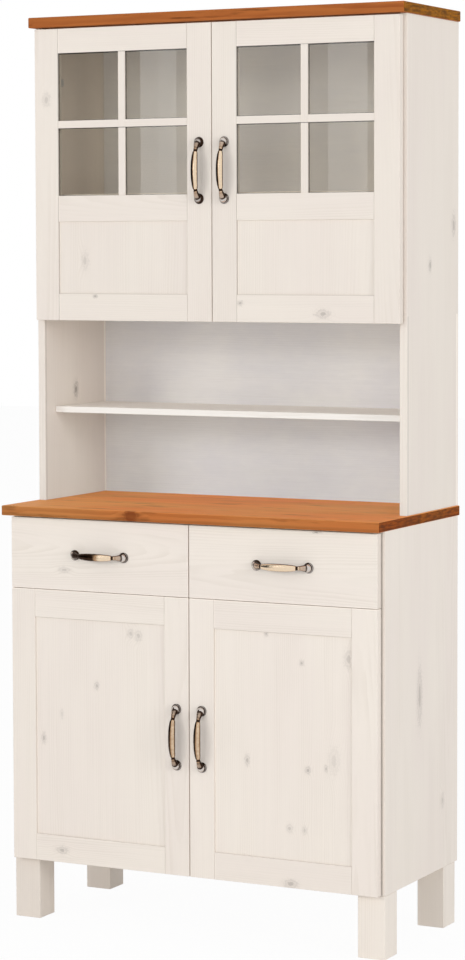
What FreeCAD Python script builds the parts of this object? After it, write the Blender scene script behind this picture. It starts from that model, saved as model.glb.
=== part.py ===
import FreeCAD, Part
import os
import re

# Kitchen buffet: a base cabinet with two drawers and two doors, an oiled worktop, and a hutch with
# an open niche and a glazed two-door cabinet. Millimetres, +Z up, +X to the buffet's right.
# The origin is on the floor, in the middle of the whole box.

doc = FreeCAD.newDocument("KitchenBuffet")
sheet = doc.addObject("Spreadsheet::Sheet", "Sizes")

# Driving sizes
SIZES = {
    "worktop_width": 800,
    "worktop_depth": 380,
    "worktop_height": 811,
    "worktop_thickness": 19,
    "worktop_side_overhang": 4,
    "worktop_front_overhang": 19,
    "total_height": 1756,
    "cap_depth": 268,
    "cap_thickness": 20,
    "cap_side_overhang": 4,
    "cap_front_overhang": 6,
    "oiled_easing": 2,
    "side_thickness": 15,
    "board_thickness": 15,
    "edge_easing": 1,
    "shelf_thickness": 12,
    "shelf_play": 0.5,
    "back_thickness": 4,
    "back_rebate": 8,
    "back_play": 0.3,
    "leg_height": 119,
    "leg_width": 55,
    "leg_easing": 1.5,
    "rear_leg_setback": 12,
    "top_rail_width": 60,
    # Fronts
    "front_thickness": 16,
    "front_gap": 2,
    "seam_gap": 1.8,
    "drawer_gap": 1,
    "side_reveal": 7,
    "door_foot_gap": 1,
    "worktop_shadow_gap": 4,
    "cap_shadow_gap": 3,
    "drawer_front_height": 137,
    "upper_door_height": 566,
    "stile_width": 52,
    "upper_top_rail": 48,
    "upper_middle_rail": 50.5,
    "upper_bottom_rail": 52,
    "base_top_rail": 54.5,
    "base_bottom_rail": 52,
    "window_height": 275.5,
    "glazing_bar_width": 15,
    "bar_play": 0.2,
    "glass_thickness": 4,
    "groove_depth": 8,
    "groove_play": 0.5,
    "groove_fit": 0.1,
    "panel_recess": 3.2,
    "panel_backing": 5,
    # Niche and shelves
    "niche_shelf_rise": 184,
    "niche_shelf_setback": 39,
    "cabinet_floor_lift": 3,
    "cabinet_shelf_showing": 3.5,
    "shelf_setback": 8,
    "base_shelf_setback": 40,
    "base_shelf_share": 0.47,
    # Drawers
    "drawer_wall": 12,
    "drawer_wall_height": 90,
    "drawer_length": 300,
    "drawer_lift": 6,
    "drawer_bottom_thickness": 4,
    "drawer_bottom_lift": 10,
    "drawer_groove_depth": 6,
    "runner_width": 12.5,
    "runner_height": 35,
    "runner_sheet": 1.2,
    "runner_play": 0.4,
    "runner_flange": 8.3,
    "runner_setback": 3,
    # Fasteners
    "dowel_radius": 4,
    "dowel_length": 24,
    "dowel_fit": 0.1,
    "dowel_inset": 50,
    "base_dowel_inset": 80,
    "pin_radius": 2.5,
    "pin_length": 16,
    "pin_inset": 35,
    "bolt_radius": 4,
    "bolt_reach": 40,
    "bolt_head_radius": 7.5,
    "bolt_head_height": 5,
    # Hinges
    "hinge_inset": 100,
    "cup_radius": 17.3,
    "cup_depth": 11.3,
    "cup_fit": 0.2,
    "cup_wall": 1.8,
    "cup_edge_distance": 22.5,
    "cup_flange_thickness": 1,
    "cup_flange_half_width": 12,
    "cup_flange_half_height": 28,
    "link_pin_radius": 1.6,
    "link_reach": 11,
    "link_half_height": 6,
    "arm_gap": 0.3,
    "arm_width": 12,
    "arm_half_height": 7,
    "arm_length": 60,
    "arm_plate_thickness": 2,
    "arm_plate_half_height": 20,
    "arm_plate_setback": 20,
    "arm_plate_length": 32,
    "arm_easing": 1.2,
    # Bow pulls
    "pull_length": 127,
    "pull_projection": 25,
    "pull_middle_radius": 5.6,
    "pull_collar_radius": 3.9,
    "pull_neck_radius": 6,
    "rosette_radius": 10,
    "rosette_rim": 2,
    "rosette_dome_radius": 9.2,
    "rosette_dome_height": 9,
    "upper_pull_rise": 285.5,
    "base_pull_rise": 262.8,
    "screw_radius": 2,
    "screw_fit": 0.1,
    "screw_bite": 6,
    "screw_head_radius": 4,
    "screw_head_height": 2,
    "cut_overrun": 2,
}
for row, (alias, value) in enumerate(SIZES.items(), start=1):
    sheet.set(f"A{row}", alias)
    sheet.set(f"B{row}", str(value))
    sheet.setAlias(f"B{row}", alias)
doc.recompute()

# Places worked out from the driving sizes. Depths are counted forwards from the back of the buffet,
# heights from the floor, and widths from the middle.
PLACES = {
    "half_width": "worktop_width / 2 - worktop_side_overhang",
    "cap_half": "half_width + cap_side_overhang",
    "inner_half": "half_width - side_thickness",
    "cap_foot": "total_height - cap_thickness",
    "worktop_foot": "worktop_height - worktop_thickness",
    "base_front": "worktop_depth - worktop_front_overhang",
    "hutch_front": "cap_depth - cap_front_overhang",
    "base_door_back": "base_front - front_thickness",
    "hutch_door_back": "hutch_front - front_thickness",
    "base_side_depth": "base_door_back - front_gap",
    "hutch_side_depth": "hutch_door_back - front_gap",
    "middle_depth": "(base_front + pull_projection) / 2",
    "door_near": "seam_gap / 2",
    "door_far": "half_width - side_reveal",
    "drawer_front_top": "worktop_foot - worktop_shadow_gap",
    "drawer_front_foot": "drawer_front_top - drawer_front_height",
    "base_door_top": "drawer_front_foot - drawer_gap",
    "base_door_foot": "leg_height + door_foot_gap",
    "upper_door_top": "cap_foot - cap_shadow_gap",
    "upper_door_foot": "upper_door_top - upper_door_height",
    "window_top": "upper_door_top - upper_top_rail",
    "window_foot": "window_top - window_height",
    "hutch_panel_top": "window_foot - upper_middle_rail",
    "hutch_panel_foot": "upper_door_foot + upper_bottom_rail",
    "base_panel_top": "base_door_top - base_top_rail",
    "base_panel_foot": "base_door_foot + base_bottom_rail",
    "base_floor_top": "leg_height + board_thickness",
    "deck_foot": "drawer_front_foot - drawer_gap / 2 - board_thickness / 2",
    "deck_top": "deck_foot + board_thickness",
    "top_rail_foot": "worktop_foot - board_thickness",
    "base_shelf_foot": "base_floor_top + base_shelf_share * (deck_foot - base_floor_top)",
    "cabinet_floor_foot": "upper_door_foot + cabinet_floor_lift",
    "cabinet_floor_top": "cabinet_floor_foot + board_thickness",
    "cabinet_shelf_foot": "window_foot + cabinet_shelf_showing - shelf_thickness",
    "niche_shelf_foot": "worktop_height + niche_shelf_rise - shelf_thickness",
    "niche_shelf_front": "hutch_side_depth - niche_shelf_setback",
    "cabinet_shelf_front": "hutch_side_depth - shelf_setback",
    "base_shelf_front": "base_side_depth - base_shelf_setback",
    "tongue_length": "groove_depth - groove_play",
    "window_near": "door_near + stile_width",
    "window_far": "door_far - stile_width",
    "window_middle": "(window_near + window_far) / 2",
    "window_mid_height": "(window_top + window_foot) / 2",
    "bar_half": "glazing_bar_width / 2",
    "groove_margin": "panel_recess - groove_fit",
    "groove_width": "glass_thickness + 2 * groove_fit",
    "drawer_near": "board_thickness / 2 + runner_width",
    "drawer_far": "inner_half - runner_width",
    "drawer_wall_foot": "deck_top + drawer_lift",
    "drawer_wall_top": "drawer_wall_foot + drawer_wall_height",
    "drawer_back": "base_door_back - drawer_length",
    "drawer_bottom_foot": "drawer_wall_foot + drawer_bottom_lift",
    "drawer_bottom_top": "drawer_bottom_foot + drawer_bottom_thickness",
    "runner_middle": "(drawer_wall_foot + drawer_wall_top) / 2",
    "runner_front": "base_side_depth - runner_setback",
    "drawer_middle": "(door_near + door_far) / 2",
    "pull_reach": "(pull_length - 2 * rosette_radius) / 2",
    "bow_height": "pull_projection - pull_middle_radius",
}


def full(text):
    """Write out a formula: places become their own formulas, and sizes become cells of the sheet."""
    def swap(found):
        word = found.group()
        if word in PLACES:
            return "(" + full(PLACES[word]) + ")"
        if word in SIZES:
            return "Sizes." + word
        return word
    return re.sub(r"[a-z][a-z_]+", swap, text)


def bind(thing, formulas):
    """Tie an object's sizes to the sheet."""
    for path, text in formulas.items():
        thing.setExpression(path, full(text))


def seat(thing, across, depth, height):
    """Tie an object's position to the sheet."""
    bind(thing, {
        "Placement.Base.x": across,
        "Placement.Base.y": f"middle_depth - ({depth})",
        "Placement.Base.z": height,
    })


def turn(thing, axis, degrees):
    """Turn an object about an axis through its own origin."""
    thing.Placement = FreeCAD.Placement(FreeCAD.Vector(), FreeCAD.Rotation(axis, degrees))


ALONG_X = FreeCAD.Vector(1, 0, 0)
ALONG_Y = FreeCAD.Vector(0, 1, 0)
BOX_EDGES = [f"Edge{number}" for number in range(1, 13)]
nodes = []


def keep(thing, label):
    """Name a finished sub-part and list it for its own file."""
    thing.Label = label
    nodes.append(thing)
    return thing


def span(side, near, far):
    """A stretch across the buffet, mirrored for the left side."""
    if side > 0:
        return (near, far)
    return (f"-({far})", f"-({near})")


def board(label, across, depth, height, easing="edge_easing"):
    """A board between two widths, two depths from the back and two heights, with eased edges."""
    body = doc.addObject("PartDesign::Body", label)
    seat(body, across[0], depth[1], height[0])
    plank = body.newObject("PartDesign::AdditiveBox", label + "_plank")
    bind(plank, {
        "Length": f"({across[1]}) - ({across[0]})",
        "Width": f"({depth[1]}) - ({depth[0]})",
        "Height": f"({height[1]}) - ({height[0]})",
    })
    if easing:
        rounding = body.newObject("PartDesign::Fillet", label + "_easing")
        rounding.Base = (plank, BOX_EDGES)
        bind(rounding, {"Radius": easing})
    return body


def block(label, across, depth, height):
    """A plain box between two widths, two depths and two heights, for a cut or a fused part."""
    box = doc.addObject("Part::Box", label)
    bind(box, {
        "Length": f"({across[1]}) - ({across[0]})",
        "Width": f"({depth[1]}) - ({depth[0]})",
        "Height": f"({height[1]}) - ({height[0]})",
    })
    seat(box, across[0], depth[1], height[0])
    return box


def rod(label, radius, length, along, spot):
    """A cylinder centred on a spot, along X or Z."""
    cylinder = doc.addObject("Part::Cylinder", label)
    bind(cylinder, {"Radius": radius, "Height": length})
    across, depth, height = spot
    if along == "X":
        turn(cylinder, ALONG_Y, 90)
        seat(cylinder, f"{across} - ({length}) / 2", depth, height)
    else:
        seat(cylinder, across, depth, f"{height} - ({length}) / 2")
    return cylinder


def group(label, pieces):
    """Several separate solids in one sub-part."""
    compound = doc.addObject("Part::Compound", label)
    compound.Links = pieces
    return compound


def joined(label, pieces):
    """Several shapes made into one solid."""
    fusion = doc.addObject("Part::MultiFuse", label)
    fusion.Shapes = pieces
    return fusion


def carved(label, blank, cutters):
    """A blank with its grooves and holes cut out."""
    if not cutters:
        return blank
    cutting = doc.addObject("Part::Cut", label)
    cutting.Base = blank
    cutting.Tool = cutters[0] if len(cutters) == 1 else group(label + "_cutters", cutters)
    return cutting


# Dowels, pins and bolts are placed first, so that each board can be drilled for them
sockets = {}
dowels = []
pins = []


def drill(hole, boards):
    """Remember a hole for each board that it goes into."""
    for name in boards:
        sockets.setdefault(name, []).append(hole)


def dowel(along, spot, boards):
    """A dowel half in one board and half in the next, with a socket a little larger and deeper."""
    name = f"dowel_{len(dowels) + 1}"
    dowels.append(rod(name, "dowel_radius", "dowel_length", along, spot))
    hole = rod(name + "_socket", "dowel_radius + dowel_fit", "dowel_length + 2 * dowel_fit", along, spot)
    drill(hole, boards)


def shelf_pins(name, shelf_foot, rear, front, boards):
    """Four pins under a shelf, half in the sides."""
    for side, side_board in zip((-1, 1), boards):
        for depth in (f"{rear} + pin_inset", f"{front} - pin_inset"):
            spot = (f"{side} * inner_half", depth, f"{shelf_foot} - pin_radius - dowel_fit")
            pin_name = f"{name}_pin_{len(pins) + 1}"
            pins.append(rod(pin_name, "pin_radius", "pin_length", "X", spot))
            hole = rod(pin_name + "_socket", "pin_radius + dowel_fit", "pin_length + 2 * dowel_fit",
                       "X", spot)
            drill(hole, [side_board])


HUTCH_SIDES = ("hutch_side_left", "hutch_side_right")
BASE_SIDES = ("base_side_left", "base_side_right")
HANDS = ((-1, "left"), (1, "right"))

for side, hand in HANDS:
    side_middle = f"{side} * (half_width - side_thickness / 2)"
    side_face = f"{side} * inner_half"
    hutch_side = f"hutch_side_{hand}"
    base_side = f"base_side_{hand}"
    for depth in ("dowel_inset", "hutch_side_depth - dowel_inset"):
        dowel("Z", (side_middle, depth, "cap_foot"), ["hutch_cap", hutch_side])
        dowel("Z", (side_middle, depth, "worktop_height"), ["worktop", hutch_side])
        dowel("X", (side_face, depth, "cabinet_floor_foot + board_thickness / 2"),
              ["hutch_cabinet_floor", hutch_side])
    for depth in ("base_dowel_inset", "base_side_depth - dowel_inset"):
        dowel("Z", (side_middle, depth, "worktop_foot"), ["worktop", base_side])
        dowel("X", (side_face, depth, "leg_height + board_thickness / 2"), ["base_floor", base_side])
        dowel("X", (side_face, depth, "deck_foot + board_thickness / 2"), ["drawer_deck", base_side])
    for depth in ("back_thickness + top_rail_width / 2", "base_side_depth - top_rail_width / 2"):
        dowel("X", (side_face, depth, "top_rail_foot + board_thickness / 2"), ["base_top_rails", base_side])
for depth in ("dowel_inset", "base_side_depth - dowel_inset"):
    dowel("Z", ("0", depth, "deck_top"), ["drawer_deck", "drawer_partition"])

shelf_pins("niche_shelf", "niche_shelf_foot", "back_thickness", "niche_shelf_front", HUTCH_SIDES)
shelf_pins("cabinet_shelf", "cabinet_shelf_foot", "back_thickness", "cabinet_shelf_front", HUTCH_SIDES)
shelf_pins("base_shelf", "base_shelf_foot", "back_thickness", "base_shelf_front", BASE_SIDES)

LEG_DEPTHS = {
    "rear": ("rear_leg_setback", "rear_leg_setback + leg_width"),
    "front": ("base_side_depth - leg_width", "base_side_depth"),
}
bolts = []
for place, (rear, front) in LEG_DEPTHS.items():
    for side, hand in HANDS:
        across = f"{side} * (half_width - leg_width / 2)"
        depth = f"({rear} + {front}) / 2"
        name = f"leg_bolt_{place}_{hand}"
        shank = doc.addObject("Part::Cylinder", name + "_shank")
        bind(shank, {"Radius": "bolt_radius", "Height": "bolt_reach + board_thickness"})
        seat(shank, across, depth, "leg_height - bolt_reach")
        head = doc.addObject("Part::Prism", name + "_head")
        bind(head, {"Circumradius": "bolt_head_radius", "Height": "bolt_head_height"})
        seat(head, across, depth, "base_floor_top")
        bolts.append(joined(name, [shank, head]))
        hole = doc.addObject("Part::Cylinder", name + "_hole")
        bind(hole, {"Radius": "bolt_radius + dowel_fit",
                    "Height": "bolt_reach + board_thickness + 2 * cut_overrun"})
        seat(hole, across, depth, "leg_height - bolt_reach - cut_overrun")
        drill(hole, ["base_floor", f"leg_{place}_{hand}"])

# Carcass boards
WHOLE_WIDTH = ("-inner_half", "inner_half")


def carcass_board(label, across, depth, height, easing="edge_easing", cutters=()):
    """A drilled board of the standing carcass."""
    blank = board(label + "_blank", across, depth, height, easing)
    return keep(carved(label + "_cut", blank, list(cutters) + sockets.get(label, [])), label)


def side_panel(label, side, depth, foot, top):
    """A side board with the rebate for the back panel along its rear inner edge."""
    rebate = block(label + "_rebate", span(side, "inner_half - back_play", "inner_half + back_rebate"),
                   ("-back_thickness", "back_thickness"), (foot, top))
    carcass_board(label, span(side, "inner_half", "half_width"), ("0", depth), (foot, top),
                  cutters=[rebate])


for side, hand in HANDS:
    side_panel(f"base_side_{hand}", side, "base_side_depth", "leg_height", "worktop_foot")
    side_panel(f"hutch_side_{hand}", side, "hutch_side_depth", "worktop_height", "cap_foot")

BACK_WIDTH = ("-(inner_half + back_rebate - back_play)", "inner_half + back_rebate - back_play")
keep(board("base_back", BACK_WIDTH, ("0", "back_thickness"), ("leg_height", "worktop_foot"), None),
     "base_back_panel")
keep(board("hutch_back", BACK_WIDTH, ("0", "back_thickness"), ("worktop_height", "cap_foot"), None),
     "hutch_back_panel")

carcass_board("worktop", ("-worktop_width / 2", "worktop_width / 2"), ("0", "worktop_depth"),
              ("worktop_foot", "worktop_height"), "oiled_easing")
carcass_board("hutch_cap", ("-cap_half", "cap_half"), ("0", "cap_depth"),
              ("cap_foot", "total_height"), "oiled_easing")
carcass_board("base_floor", WHOLE_WIDTH, ("back_thickness", "base_side_depth"),
              ("leg_height", "base_floor_top"))
carcass_board("drawer_deck", WHOLE_WIDTH, ("back_thickness", "base_side_depth"), ("deck_foot", "deck_top"))
carcass_board("drawer_partition", ("-board_thickness / 2", "board_thickness / 2"),
              ("back_thickness", "base_side_depth"), ("deck_top", "top_rail_foot"))
carcass_board("hutch_cabinet_floor", WHOLE_WIDTH, ("back_thickness", "hutch_side_depth"),
              ("cabinet_floor_foot", "cabinet_floor_top"))

SHELF_WIDTH = ("-inner_half + shelf_play", "inner_half - shelf_play")
for label, foot, front in (("niche_shelf", "niche_shelf_foot", "niche_shelf_front"),
                           ("hutch_cabinet_shelf", "cabinet_shelf_foot", "cabinet_shelf_front"),
                           ("base_shelf", "base_shelf_foot", "base_shelf_front")):
    carcass_board(label, SHELF_WIDTH, ("back_thickness", front), (foot, f"{foot} + shelf_thickness"))

top_rails = []
for place, rear, front in (("rear", "back_thickness", "back_thickness + top_rail_width"),
                           ("front", "base_side_depth - top_rail_width", "base_side_depth")):
    top_rails.append(board(f"top_rail_{place}", WHOLE_WIDTH, (rear, front),
                           ("top_rail_foot", "worktop_foot")))
keep(carved("top_rails_drilled", group("top_rails", top_rails), sockets["base_top_rails"]),
     "base_top_rails")

for place, depth in LEG_DEPTHS.items():
    for side, hand in HANDS:
        carcass_board(f"leg_{place}_{hand}", span(side, "half_width - leg_width", "half_width"), depth,
                      ("0", "leg_height"), "leg_easing")

keep(group("dowels", dowels), "assembly_dowels")
keep(group("pins", pins), "shelf_pins")
keep(group("bolts", bolts), "leg_bolts")

# The bow pull: two domed rosettes and a bow of round sections, upright about its own origin.
# The sections of one half run from the middle to the rosette. Each has its shares of the reach and
# of the bow's height, its radius, and how far it leans over in degrees.
BOW_SECTIONS = (
    (0.00, 1.00, "pull_middle_radius", 0),
    (0.34, 0.98, "(2 * pull_middle_radius + pull_collar_radius) / 3", 6),
    (0.66, 0.90, "pull_collar_radius", 14),
    (0.80, 0.79, "pull_collar_radius", 38),
    (0.93, 0.55, "(pull_collar_radius + pull_neck_radius) / 2", 62),
    (1.00, 0.20, "pull_neck_radius", 84),
)


def bow_ring(end, number, reach_share, height_share, radius, lean):
    """One round section of the bow."""
    ring = doc.addObject("Part::Circle", f"bow_ring_{'upper' if end > 0 else 'lower'}_{number}")
    turn(ring, ALONG_X, -end * lean)
    bind(ring, {
        "Radius": radius,
        "Placement.Base.y": f"-{height_share} * bow_height",
        "Placement.Base.z": f"{end * reach_share} * pull_reach",
    })
    return ring


lower_half = [bow_ring(-1, number, *ring) for number, ring in enumerate(BOW_SECTIONS) if number]
upper_half = [bow_ring(1, number, *ring) for number, ring in enumerate(BOW_SECTIONS)]
bow = doc.addObject("Part::Loft", "pull_bow")
bow.Sections = lower_half[::-1] + upper_half
bow.Solid = True
pull_parts = [bow]
pull_holes = []
pull_screws = []
for end, name in ((-1, "lower"), (1, "upper")):
    rim = doc.addObject("Part::Cylinder", f"rosette_rim_{name}")
    bind(rim, {"Radius": "rosette_radius", "Height": "rosette_rim"})
    dome = doc.addObject("Part::Ellipsoid", f"rosette_dome_{name}")
    dome.Angle1 = 0
    bind(dome, {"Radius1": "rosette_dome_height", "Radius2": "rosette_dome_radius",
                "Radius3": "rosette_dome_radius"})
    pull_parts += [rim, dome]
    hole = doc.addObject("Part::Cylinder", f"pull_hole_{name}")
    bind(hole, {"Radius": "screw_radius + screw_fit", "Height": "screw_bite + screw_fit"})
    pull_holes.append(hole)
    shank = doc.addObject("Part::Cylinder", f"screw_shank_{name}")
    bind(shank, {"Radius": "screw_radius", "Height": "front_thickness + screw_bite"})
    head = doc.addObject("Part::Cylinder", f"screw_head_{name}")
    bind(head, {"Radius": "screw_head_radius", "Height": "screw_head_height"})
    for piece, set_back in ((rim, "0"), (dome, "0"), (hole, "0"), (shank, "front_thickness"),
                            (head, "front_thickness + screw_head_height")):
        turn(piece, ALONG_X, 90)
        bind(piece, {"Placement.Base.y": set_back, "Placement.Base.z": f"{end} * pull_reach"})
    pull_screws.append(joined(f"pull_screw_{name}", [shank, head]))
pull = carved("pull", joined("pull_whole", pull_parts), pull_holes)


def handle(label, across, depth, height, upright=True):
    """One bow pull with its two screws, seated on a front."""
    fitted = group(label, [pull] + pull_screws)
    if not upright:
        turn(fitted, ALONG_Y, 90)
    seat(fitted, across, depth, height)
    keep(fitted, label)


def pull_bores(label, across, front, height, upright=True):
    """The two holes for a pull's screws through a front."""
    bores = []
    for end in (-1, 1):
        bore = doc.addObject("Part::Cylinder", f"{label}_bore_{'upper' if end > 0 else 'lower'}")
        bind(bore, {"Radius": "screw_radius + screw_fit", "Height": "front_thickness + 2 * cut_overrun"})
        turn(bore, ALONG_X, 90)
        rear = f"{front} - front_thickness - cut_overrun"
        if upright:
            seat(bore, across, rear, f"{height} + {end} * pull_reach")
        else:
            seat(bore, f"{across} + {end} * pull_reach", rear, height)
        bores.append(bore)
    return bores


# The hinge cup, open to the back, with its folded link, about the middle of its rim
cup_wall = doc.addObject("Part::Cylinder", "cup_wall")
bind(cup_wall, {"Radius": "cup_radius", "Height": "cup_depth"})
cup_hollow = doc.addObject("Part::Cylinder", "cup_hollow")
bind(cup_hollow, {"Radius": "cup_radius - cup_wall",
                  "Height": "cup_depth - cup_wall + cup_flange_thickness"})
for piece, set_back in ((cup_wall, "0"), (cup_hollow, "cup_flange_thickness")):
    turn(piece, ALONG_X, 90)
    bind(piece, {"Placement.Base.y": set_back})
cup_flange = doc.addObject("Part::Box", "cup_flange")
bind(cup_flange, {
    "Length": "2 * cup_flange_half_width",
    "Width": "cup_flange_thickness",
    "Height": "2 * cup_flange_half_height",
    "Placement.Base.x": "-cup_flange_half_width",
    "Placement.Base.z": "-cup_flange_half_height",
})
link_pin = doc.addObject("Part::Cylinder", "link_pin")
bind(link_pin, {
    "Radius": "link_pin_radius",
    "Height": "2 * cup_radius - cup_wall",
    "Placement.Base.y": "-cup_depth / 2",
    "Placement.Base.z": "-cup_radius + cup_wall / 2",
})
link = doc.addObject("Part::Box", "link")
bind(link, {
    "Length": "link_pin_radius + link_reach",
    "Width": "cup_depth / 2 + cup_flange_thickness",
    "Height": "2 * link_half_height",
    "Placement.Base.x": "-link_pin_radius",
    "Placement.Base.y": "-cup_depth / 2",
    "Placement.Base.z": "-link_half_height",
})
hollow_cup = carved("hollow_cup", joined("cup_with_flange", [cup_wall, cup_flange]), [cup_hollow])
cup = joined("hinge_cup", [hollow_cup, link_pin, link])

# The hinge arm on its mounting plate, for the right side, about a point on the side's front edge
arm_bar = doc.addObject("PartDesign::Body", "arm_bar")
bar = arm_bar.newObject("PartDesign::AdditiveBox", "arm_bar_block")
bind(bar, {
    "Length": "arm_width",
    "Width": "arm_length + front_gap - cup_flange_thickness - arm_gap",
    "Height": "2 * arm_half_height",
})
bar_rounding = arm_bar.newObject("PartDesign::Fillet", "arm_bar_easing")
bar_rounding.Base = (bar, BOX_EDGES)
bind(bar_rounding, {"Radius": "arm_easing"})
bind(arm_bar, {
    "Placement.Base.x": "-arm_width - arm_plate_thickness / 2",
    "Placement.Base.y": "-(front_gap - cup_flange_thickness - arm_gap)",
    "Placement.Base.z": "-arm_half_height",
})
arm_plate = doc.addObject("Part::Box", "arm_plate")
bind(arm_plate, {
    "Length": "arm_plate_thickness",
    "Width": "arm_plate_length",
    "Height": "2 * arm_plate_half_height",
    "Placement.Base.x": "-arm_plate_thickness",
    "Placement.Base.y": "arm_plate_setback",
    "Placement.Base.z": "-arm_plate_half_height",
})
arm = joined("hinge_arm", [arm_bar, arm_plate])
arms = []


def hinges(label, side, side_depth, door_back, foot, top):
    """Two hinges of one door: cups in the door, arms on the side. Returns the cups' bores."""
    cups = []
    bores = []
    across = f"{side} * (door_far - cup_edge_distance)"
    for place, height in (("lower", f"{foot} + hinge_inset"), ("upper", f"{top} - hinge_inset")):
        name = f"{label}_{place}"
        one_cup = group(name + "_cup", [cup])
        if side < 0:
            turn(one_cup, ALONG_Y, 180)
        seat(one_cup, across, door_back, height)
        cups.append(one_cup)
        bore = doc.addObject("Part::Cylinder", name + "_cup_bore")
        bind(bore, {"Radius": "cup_radius + cup_fit", "Height": "cup_depth + cup_fit + cut_overrun"})
        turn(bore, ALONG_X, 90)
        seat(bore, across, f"{door_back} - cut_overrun", height)
        bores.append(bore)
        one_arm = group(name + "_arm", [arm])
        if side < 0:
            turn(one_arm, ALONG_Y, 180)
        seat(one_arm, f"{side} * inner_half", side_depth, height)
        arms.append(one_arm)
    keep(group(label + "_cups", cups), f"{label}_hinge_cups")
    return bores


# Framed doors
def groove(label, across, front, height):
    """The cut for a tongue, panel or pane, set back behind a front face."""
    depth = (f"{front} - groove_margin - groove_width", f"{front} - groove_margin")
    return block(label, across, depth, height)


def stiles(label, side, front, foot, top, inner_bores, outer_bores):
    """The two upright members of a door frame, each grooved along its inner edge."""
    depth = (f"{front} - front_thickness", front)
    members = []
    for name, near, far, edge, bores in (
            ("inner", "door_near", "window_near", "window_near", inner_bores),
            ("outer", "window_far", "door_far", "window_far", outer_bores)):
        member = f"{label}_{name}_stile"
        blank = board(member, span(side, near, far), depth, (foot, top))
        cut_span = span(side, f"{edge} - groove_depth", f"{edge} + groove_depth")
        cut = groove(member + "_groove", cut_span, front, (foot, top))
        members.append(carved(member + "_grooved", blank, [cut] + bores))
    keep(group(label + "_both_stiles", members), f"{label}_stiles")


def rail(label, side, front, foot, top, grooves):
    """A cross member with a stub tongue at each end and grooves where panels or panes enter."""
    depth = (f"{front} - front_thickness", front)
    tongue_depth = (f"{front} - panel_recess - glass_thickness", f"{front} - panel_recess")
    plank = board(label, span(side, "window_near", "window_far"), depth, (foot, top))
    tongue = block(label + "_tongue",
                   span(side, "window_near - tongue_length", "window_far + tongue_length"),
                   tongue_depth, (f"{foot} + edge_easing", f"{top} - edge_easing"))
    cuts = []
    for edge in grooves:
        level = top if edge == "top" else foot
        cuts.append(groove(f"{label}_{edge}_groove",
                           span(side, "window_near - groove_depth", "window_far + groove_depth"), front,
                           (f"{level} - groove_depth", f"{level} + groove_depth")))
    return carved(label + "_grooved", joined(label + "_tongued", [plank, tongue]), cuts)


def panel(label, side, front, foot, top):
    """A board whose thin rim enters the grooves, with a thicker field behind the opening."""
    rim = block(label + "_rim", span(side, "window_near - tongue_length", "window_far + tongue_length"),
                (f"{front} - panel_recess - glass_thickness", f"{front} - panel_recess"),
                (f"{foot} - tongue_length", f"{top} + tongue_length"))
    field = block(label + "_field", span(side, "window_near + groove_play", "window_far - groove_play"),
                  (f"{front} - panel_recess - glass_thickness - panel_backing",
                   f"{front} - panel_recess - glass_thickness"),
                  (f"{foot} + groove_play", f"{top} - groove_play"))
    keep(joined(label + "_whole", [rim, field]), label)


def glazing(label, side):
    """The pane and the cross of thin bars in front of it."""
    tongue = "tongue_length"
    glass_depth = ("hutch_front - panel_recess - glass_thickness", "hutch_front - panel_recess")
    keep(block(label + "_pane", span(side, f"window_near - {tongue}", f"window_far + {tongue}"),
               glass_depth, (f"window_foot - {tongue}", f"window_top + {tongue}")), f"{label}_glass")
    bar_depth = ("hutch_front - panel_recess + bar_play", "hutch_front")
    upright_span = span(side, "window_middle - bar_half", "window_middle + bar_half")
    upright = board(label + "_upright_bar", upright_span, bar_depth, ("window_foot", "window_top"),
                    "edge_easing / 2")
    level = ("window_mid_height - bar_half", "window_mid_height + bar_half")
    crossbars = []
    for name, near, far in (("near", "window_near", "window_middle - bar_half"),
                            ("far", "window_middle + bar_half", "window_far")):
        crossbars.append(board(f"{label}_{name}_bar", span(side, near, far), bar_depth, level,
                               "edge_easing / 2"))
    keep(group(label + "_bars", [upright] + crossbars), f"{label}_glazing_bars")


def upper_door(side, hand):
    """A glazed door over a low panel."""
    label = f"upper_door_{hand}"
    pull_across = f"{side} * (door_near + stile_width / 2)"
    pull_height = "upper_door_foot + upper_pull_rise"
    bores = pull_bores(label, pull_across, "hutch_front", pull_height)
    cup_bores = hinges(label, side, "hutch_side_depth", "hutch_door_back",
                       "upper_door_foot", "upper_door_top")
    stiles(label, side, "hutch_front", "upper_door_foot", "upper_door_top", bores, cup_bores)
    rails = [
        rail(f"{label}_top_rail", side, "hutch_front", "window_top", "upper_door_top", ["foot"]),
        rail(f"{label}_middle_rail", side, "hutch_front", "hutch_panel_top", "window_foot",
             ["foot", "top"]),
        rail(f"{label}_bottom_rail", side, "hutch_front", "upper_door_foot", "hutch_panel_foot",
             ["top"]),
    ]
    keep(group(label + "_all_rails", rails), f"{label}_rails")
    panel(f"{label}_panel", side, "hutch_front", "hutch_panel_foot", "hutch_panel_top")
    glazing(label, side)
    handle(f"{label}_handle", pull_across, "hutch_front", pull_height)


def base_door(side, hand):
    """A framed door with one tall panel."""
    label = f"base_door_{hand}"
    pull_across = f"{side} * (door_near + stile_width / 2)"
    pull_height = "base_door_foot + base_pull_rise"
    bores = pull_bores(label, pull_across, "base_front", pull_height)
    cup_bores = hinges(label, side, "base_side_depth", "base_door_back",
                       "base_door_foot", "base_door_top")
    stiles(label, side, "base_front", "base_door_foot", "base_door_top", bores, cup_bores)
    rails = [
        rail(label + "_top_rail", side, "base_front", "base_panel_top", "base_door_top", ["foot"]),
        rail(label + "_bottom_rail", side, "base_front", "base_door_foot", "base_panel_foot", ["top"]),
    ]
    keep(group(label + "_all_rails", rails), f"{label}_rails")
    panel(f"{label}_panel", side, "base_front", "base_panel_foot", "base_panel_top")
    handle(f"{label}_handle", pull_across, "base_front", pull_height)


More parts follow.
